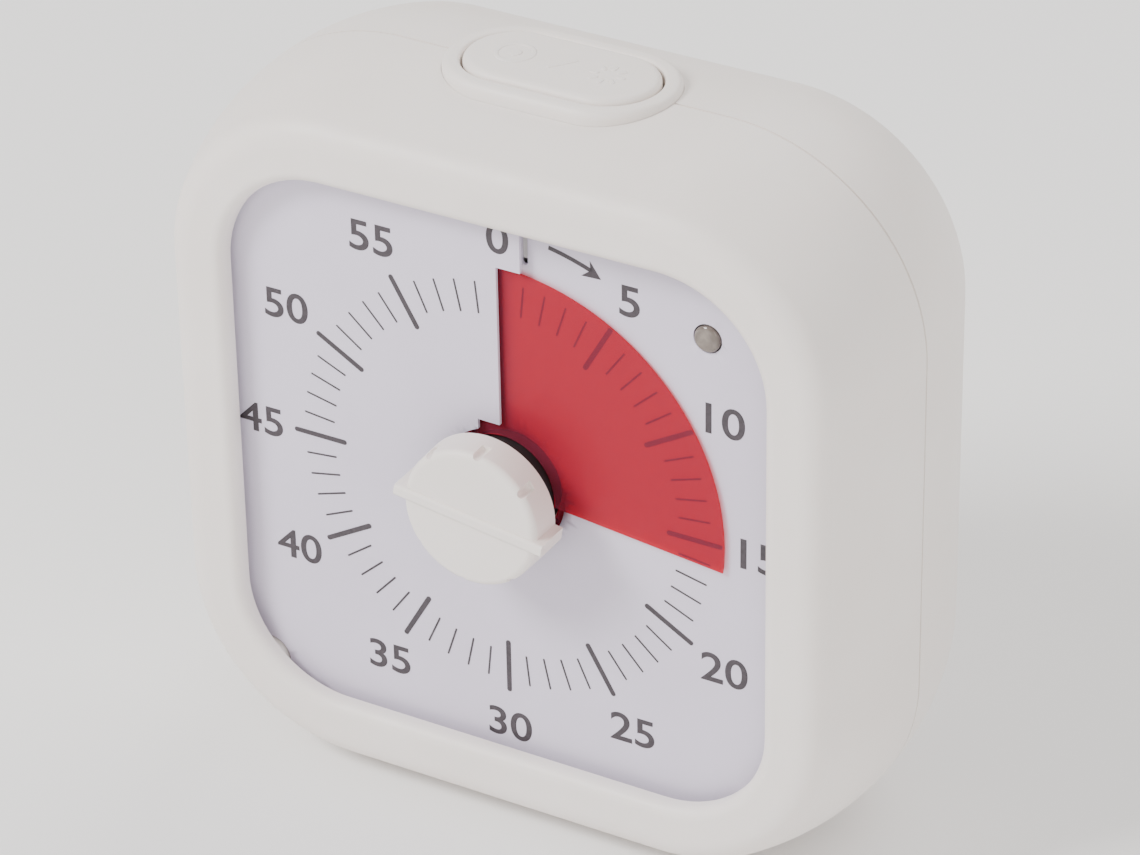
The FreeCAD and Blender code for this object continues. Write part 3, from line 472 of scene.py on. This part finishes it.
def numeral(text, clock):
    bpy.ops.object.text_add()
    letters = bpy.context.object
    letters.data.body = text
    letters.data.align_x = "CENTER"
    letters.data.align_y = "CENTER"
    letters.data.bevel_depth = numeral_bold
    letters.data.bevel_resolution = 0
    letters.data.resolution_u = numeral_curve_steps
    active(letters)
    bpy.ops.object.convert(target="MESH")
    shape = bpy.context.object
    low = min(v.co.y for v in shape.data.vertices)
    high = max(v.co.y for v in shape.data.vertices)
    left = min(v.co.x for v in shape.data.vertices)
    right = max(v.co.x for v in shape.data.vertices)
    scale = numeral_height * mm / (high - low)
    turn = math.radians(clock)
    centre_x = (numeral_radius * math.sin(turn) + (zero_shift if clock == 0 else 0)) * mm
    centre_z = (dial_z + numeral_radius * math.cos(turn)) * mm
    for vertex in shape.data.vertices:
        x = (vertex.co.x - (left + right) / 2) * scale * numeral_widen + centre_x
        z = (vertex.co.y - (low + high) / 2) * scale + centre_z
        y = -(vertex.co.z / numeral_bold + 1) * print_thickness / 2 * mm
        vertex.co = (x, y, z)
    edit_all(shape, bpy.ops.mesh.remove_doubles, threshold=numeral_merge * mm)
    edit_all(shape, bpy.ops.mesh.normals_make_consistent, inside=False)
    lie_on_card(shape, on_tab=clock == 0)
    return shape


def numerals():
    shapes = [numeral(str(minute), degrees_per_minute * minute) for minute in range(0, 60, 5)]
    finish_piece(join(shapes), "minute_numerals", ink, "housing", "card")


def direction_arrow():
    """Curved arrow that shows which way the knob is set: a shaft on an arc and a head with a notched back."""
    bpy.ops.mesh.primitive_plane_add(size=1, rotation=(0, math.radians(90), 0),
                                     location=(0, -print_thickness / 2 * mm, (dial_z + arrow_radius) * mm))
    shaft = bpy.context.object
    shaft.scale = (arrow_width * mm, print_thickness * mm, 1)
    settle(shaft)
    edit_all(shaft, bpy.ops.mesh.spin, steps=arrow_steps, angle=math.radians(arrow_end - arrow_start),
             center=(0, 0, dial_z * mm), axis=(0, -1, 0))
    turned(shaft, arrow_start)
    corners = {(1, 0): arrow_tip, (0, 1): arrow_barbs[0], (-1, 0): arrow_notch, (0, -1): arrow_barbs[1]}
    head = disc(len(corners), 1, 0, 0, -print_thickness, 0)
    for vertex in head.data.vertices:
        radius, clock = corners[(round(vertex.co.x / mm), round(vertex.co.z / mm))]
        vertex.co.x = radius * math.sin(math.radians(clock)) * mm
        vertex.co.z = (dial_z + radius * math.cos(math.radians(clock))) * mm
    arrow = join([shaft, head])
    edit_all(arrow, bpy.ops.mesh.normals_make_consistent, inside=False)
    lie_on_card(arrow)
    finish_piece(arrow, "direction_arrow", ink, "housing", "card")


def slotted_card():
    """The card again, with the short slot beside its tab."""
    card = merged_copy("dial_card")
    cutter = upright_bar(slot_sides, slot_left, slot_right, slot_foot, slot_head, slot_front_y, slot_back_y)
    active(card)
    cut = card.modifiers.new("slot", "BOOLEAN")
    cut.operation = "DIFFERENCE"
    cut.solver = "EXACT"
    cut.object = cutter
    bpy.ops.object.modifier_apply(modifier=cut.name)
    bpy.data.objects.remove(cutter)
    smooth(card, card_smooth_angle)
    finish_piece(card, "slotted_dial_card", card_sheet, "housing", "card", "dial_card")


# Raised marks on the button

def crowned_button():
    """The button with its top drawn down a little, so that its marks stand no higher than the real one."""
    button = merged_copy("top_button")
    top = max(v.co.z for v in button.data.vertices)
    shoulder = top - button_shoulder * mm
    for vertex in button.data.vertices:
        if vertex.co.z > shoulder:
            vertex.co.z = shoulder + (vertex.co.z - shoulder) * (1 - button_mark_height / button_shoulder)
    smooth(button, button_smooth_angle)
    finish_piece(button, "crowned_button", case_abs, "button", "case_shell", "top_button")
    return top - button_mark_height * mm


def button_bar(length, x, y, turn):
    """A bar with rounded edges, lying flat and turned about the vertical."""
    bpy.ops.mesh.primitive_cube_add(size=1)
    bar = bpy.context.object
    bar.scale = (length * mm, 2 * button_ring_tube * mm, 2 * button_ring_tube * mm)
    settle(bar)
    edges = bar.modifiers.new("round", "BEVEL")
    edges.width = button_ring_tube * button_bar_rounding * mm
    edges.segments = bar_edge_segments
    bpy.ops.object.modifier_apply(modifier=edges.name)
    bar.rotation_euler = (0, 0, turn)
    bar.location = (x * mm, y * mm, 0)
    return settle(bar)


def button_marks(top):
    """A ring with a dot, a slash and a ring of short rays, all pressed flat against the button's top."""
    bpy.ops.mesh.primitive_torus_add(major_radius=button_ring_radius * mm, minor_radius=button_ring_tube * mm,
                                     major_segments=ring_segments, minor_segments=ring_tube_segments,
                                     location=(button_ring_x * mm, 0, 0))
    ring = settle(bpy.context.object)
    bpy.ops.mesh.primitive_uv_sphere_add(segments=dot_segments, ring_count=dot_rings,
                                         radius=button_dot_radius * mm, location=(button_ring_x * mm, 0, 0))
    dot = settle(bpy.context.object)
    parts = [ring, dot, button_bar(button_slash_length, 0, 0, math.radians(button_slash_angle))]
    middle = (button_ray_inner + button_ray_outer) / 2
    for ray in range(button_ray_count):
        turn = 2 * math.pi * ray / button_ray_count
        parts.append(button_bar(button_ray_outer - button_ray_inner,
                                button_ray_x + middle * math.cos(turn), middle * math.sin(turn), turn))
    marks = join(parts)
    for vertex in marks.data.vertices:
        rise = vertex.co.z / (button_ring_tube * mm) * button_mark_height
        vertex.co.z = top + min(rise, button_mark_height - button_mark_clearance) * mm
    smooth(marks, button_mark_smooth_angle)
    finish_piece(marks, "button_marks", case_abs, "button", "case_shell")


# Floor, light and camera

def area_light(name, place, side, power):
    """A square light that looks at the middle of the dial."""
    lamp = bpy.data.lights.new(name, "AREA")
    lamp.shape = "SQUARE"
    lamp.size = side
    lamp.energy = power
    holder = bpy.data.objects.new(name, lamp)
    bpy.context.collection.objects.link(holder)
    holder.location = place
    aim = Vector((0, 0, dial_z * mm)) - Vector(place)
    holder.rotation_euler = aim.to_track_quat("-Z", "Y").to_euler()


def studio():
    bpy.ops.mesh.primitive_plane_add(size=floor_side)
    floor = bpy.context.object
    floor.name = "floor"
    material, tree = new_material("plain pale floor")
    show(tree, shader_node(tree, "ShaderNodeBsdfPrincipled",
                           {"Base Color": hex_colour("#F7F6F5"), "Roughness": 0.9}))
    floor.data.materials.append(material)
    world = bpy.data.worlds.new("studio")
    world.use_nodes = True
    bpy.context.scene.world = world
    background = world.node_tree.nodes["Background"]
    background.inputs["Color"].default_value = room_colour
    background.inputs["Strength"].default_value = room_strength
    for light in lights:
        area_light(*light)


def camera():
    view = bpy.data.cameras.new("camera")
    view.lens = camera_lens
    view.sensor_width = sensor_width
    view.clip_start = camera_near
    view.clip_end = camera_far
    holder = bpy.data.objects.new("camera", view)
    bpy.context.collection.objects.link(holder)
    holder.location = [c * mm for c in camera_place]
    holder.rotation_euler = [math.radians(a) for a in camera_turn]
    bpy.context.scene.camera = holder


dress_cad_nodes()
minute_marks("single_minute_marks", [minute for minute in range(60) if minute % 5],
             short_mark_width, short_mark_inner, short_mark_outer)
minute_marks("five_minute_marks", range(5, 60, 5), long_mark_width, long_mark_inner, long_mark_outer)
numerals()
direction_arrow()
slotted_card()
button_marks(crowned_button())
studio()
camera()
